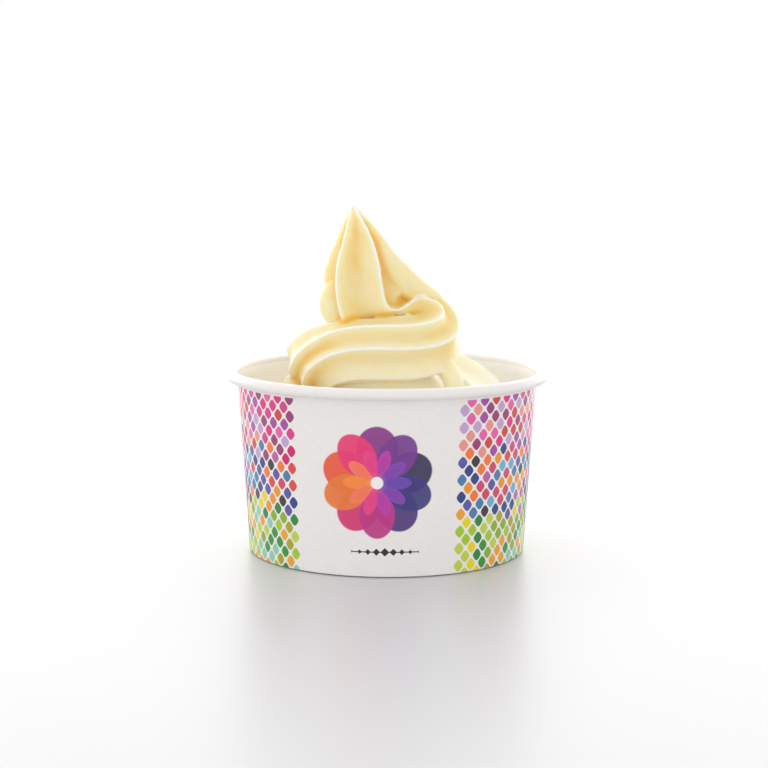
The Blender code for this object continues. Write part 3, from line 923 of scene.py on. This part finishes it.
def yogurt():
    """Smooth, moist and dense: painted highlights in white along its drawn edges, and painted shade in a
    deeper yellow in its flutes.
    """
    graph = Graph("yogurt")
    place = graph.place()
    x, _, z = (graph.maths("DIVIDE", value, MM) for value in graph.axes(place))
    hollow = graph.field("hollow")
    seam = graph.field("seam")
    off = graph.field("crest_off")
    above = graph.between(z, ABOVE_RIM)
    left = graph.times(graph.between(x, TO_LEFT), graph.between(z, UNDER_COLUMN))
    # Painted shade: yellower in the flutes, toward the peak, and low at the left and the right.
    right = graph.times(graph.between(x, TO_RIGHT), above)
    warm = graph.maths("MAXIMUM", graph.between(z, TO_PEAK), right)
    painted_flute_shade = graph.times(hollow, graph.maths("MAXIMUM", above, left))
    depth = graph.times(painted_flute_shade, graph.maths("ADD", left, 0.8))
    depth = graph.maths("ADD", depth, graph.maths("MULTIPLY_ADD", warm, 0.36, 0.25))
    depth = graph.maths("MULTIPLY_ADD", left, 0.25, depth, clamp=True)
    tint = graph.ramp(depth, [(stop, colour(code)) for stop, code in BUTTER_AND_PAINTED_SHADE])
    # Painted light: paler toward the foot of the swirl; and milkier in soft patches of random tone.
    low = graph.times(graph.between(z, TO_FOOT), graph.maths("MULTIPLY_ADD", left, -0.7, 0.9))
    patches = graph.between(graph.noise(place, 60.0, 2.0, 0.5), IN_PATCHES)
    painted_light_and_patches = graph.maths("MAXIMUM", low, graph.maths("MULTIPLY", patches, 0.3))
    tint = graph.mix(painted_light_and_patches, tint, colour(MILK_AND_PAINTED_LIGHT))
    # Painted light: paler beside the crests; painted shade: a strong yellow in the creases; and painted
    # highlights: white along the crests.
    painted_crest_halo = graph.times(graph.between(off, NEAR_CREST), graph.between(hollow, OUT_OF_HOLLOW), 0.4)
    tint = graph.mix(painted_crest_halo, tint, colour(CREST_HALO_LIGHT))
    # Painted shade in the creases and along the seams between coils.
    painted_crease_shade = graph.times(graph.between(graph.field("crease"), IN_CREASE), above)
    painted_crease_shade = graph.maths("MULTIPLY", graph.maths("MAXIMUM", painted_crease_shade, seam), 0.9)
    tint = graph.mix(painted_crease_shade, tint, colour(CREASE_SHADE_YELLOW))
    # Painted highlight: a white line along each crest.
    line = graph.times(
        graph.between(graph.maths("ABSOLUTE", graph.field("crest_side")), LINE_EDGE),
        graph.between(off, AT_CREST),
        graph.between(hollow, ON_RIDGE),
        graph.between(seam, OUT_OF_SEAM),
    )
    tint = graph.mix(line, tint, colour(CREST_HIGHLIGHT_WHITE))
    grain = graph.noise(place, 1400.0, 3.0, 0.6)
    soft = graph.noise(place, 160.0, 2.0, 0.5)
    fine = graph.bump(grain, 0.15, 0.00003)
    skin = graph.bump(soft, 0.25, 0.0003, fine)
    graph.set(
        Base_Color=tint,
        Roughness=graph.maths("MULTIPLY_ADD", line, -0.15, 0.42),
        Specular_IOR_Level=0.4,
        Subsurface_Weight=0.8,
        Subsurface_Radius=(1.0, 0.7, 0.3),
        Subsurface_Scale=0.0045,
        Normal=skin,
    )
    return graph.material


def floor_finish():
    graph = Graph("studio_floor")
    graph.set(Base_Color=colour("dadadb"), Roughness=0.45, Specular_IOR_Level=0.5)
    graph.set(Coat_Weight=0.3, Coat_Roughness=0.3)
    return graph.material


# The studio.


def studio():
    scene = bpy.context.scene
    far = FLOOR_FRONT
    corners = [(-far, -far, 0), (far, -far, 0), (far, FLOOR_BACK, 0), (-far, FLOOR_BACK, 0)]
    floor = mesh_object("studio_floor", corners, [(0, 1, 2, 3)], [floor_finish()])
    world = bpy.data.worlds.new("studio")
    world.use_nodes = True
    tree = world.node_tree
    background = tree.nodes["Background"]
    place = tree.nodes.new("ShaderNodeTexCoord")
    parts = tree.nodes.new("ShaderNodeSeparateXYZ")
    tree.links.new(place.outputs["Generated"], parts.inputs[0])
    seen = tree.nodes.new("ShaderNodeLightPath")

    def maths(operation, *values):
        made = tree.nodes.new("ShaderNodeMath")
        made.operation = operation
        for socket, value in zip(made.inputs, values):
            tree.links.new(value, socket)
        return made.outputs[0]

    def along(axis, start, end, least, most):
        made = tree.nodes.new("ShaderNodeMapRange")
        made.interpolation_type = "SMOOTHSTEP"
        tree.links.new(parts.outputs[axis], made.inputs["Value"])
        for name, value in (("From Min", start), ("From Max", end), ("To Min", least), ("To Max", most)):
            made.inputs[name].default_value = value
        return made.outputs[0]

    # Glossy rays see the backdrop brighter, as an overexposed one is.
    strength = maths("MULTIPLY", along(*BACKDROP_GLOW), seen.outputs["Is Glossy Ray"])
    for part in SKY_LIGHT:
        strength = maths("ADD", strength, along(*part))
    # What the camera sees behind the part is plain white, whatever the sky lights it with.
    choice = tree.nodes.new("ShaderNodeMix")
    tree.links.new(seen.outputs["Is Camera Ray"], choice.inputs[0])
    tree.links.new(strength, choice.inputs[2])
    choice.inputs[3].default_value = 1.0
    tree.links.new(choice.outputs[0], background.inputs["Strength"])
    background.inputs["Color"].default_value = (1.0, 1.0, 1.0, 1.0)
    scene.world = world
    for name, spot, size, power in LAMPS:
        lamp = bpy.data.lights.new(name, "AREA")
        lamp.size = size
        lamp.energy = power
        item = bpy.data.objects.new(name, lamp)
        item.location = spot
        aim = mathutils.Vector(LAMPS_LOOK_AT) - item.location
        item.rotation_euler = aim.to_track_quat("-Z", "Y").to_euler()
        scene.collection.objects.link(item)
    scene.view_settings.view_transform = "Standard"
    scene.view_settings.look = "None"


def camera():
    made = bpy.data.cameras.new("camera")
    made.sensor_width = 36.0
    made.lens = CAMERA_LENS
    made.shift_x = CAMERA_SHIFT
    holder = bpy.data.objects.new("camera", made)
    holder.location = CAMERA_PLACE
    turn = mathutils.Euler((math.pi / 2 - CAMERA_PITCH, 0.0, 0.0)).to_matrix()
    turn = turn @ mathutils.Matrix.Rotation(CAMERA_ROLL, 3, "Z")
    holder.rotation_euler = turn.to_euler()
    bpy.context.scene.collection.objects.link(holder)
    bpy.context.scene.camera = holder


def main():
    camera()
    studio()
    plain = plain_paper()
    wall = cup_wall(printed_paper(), plain)
    base = cup_base(plain)
    swirl = frozen_yogurt(yogurt())
    for piece, node, slot in (
        (wall, "cup_wall", "printed_paper"),
        (base, "cup_base", "plain_paper"),
        (swirl, "frozen_yogurt", "yogurt"),
    ):
        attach(piece, "root")
        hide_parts(node)


main()
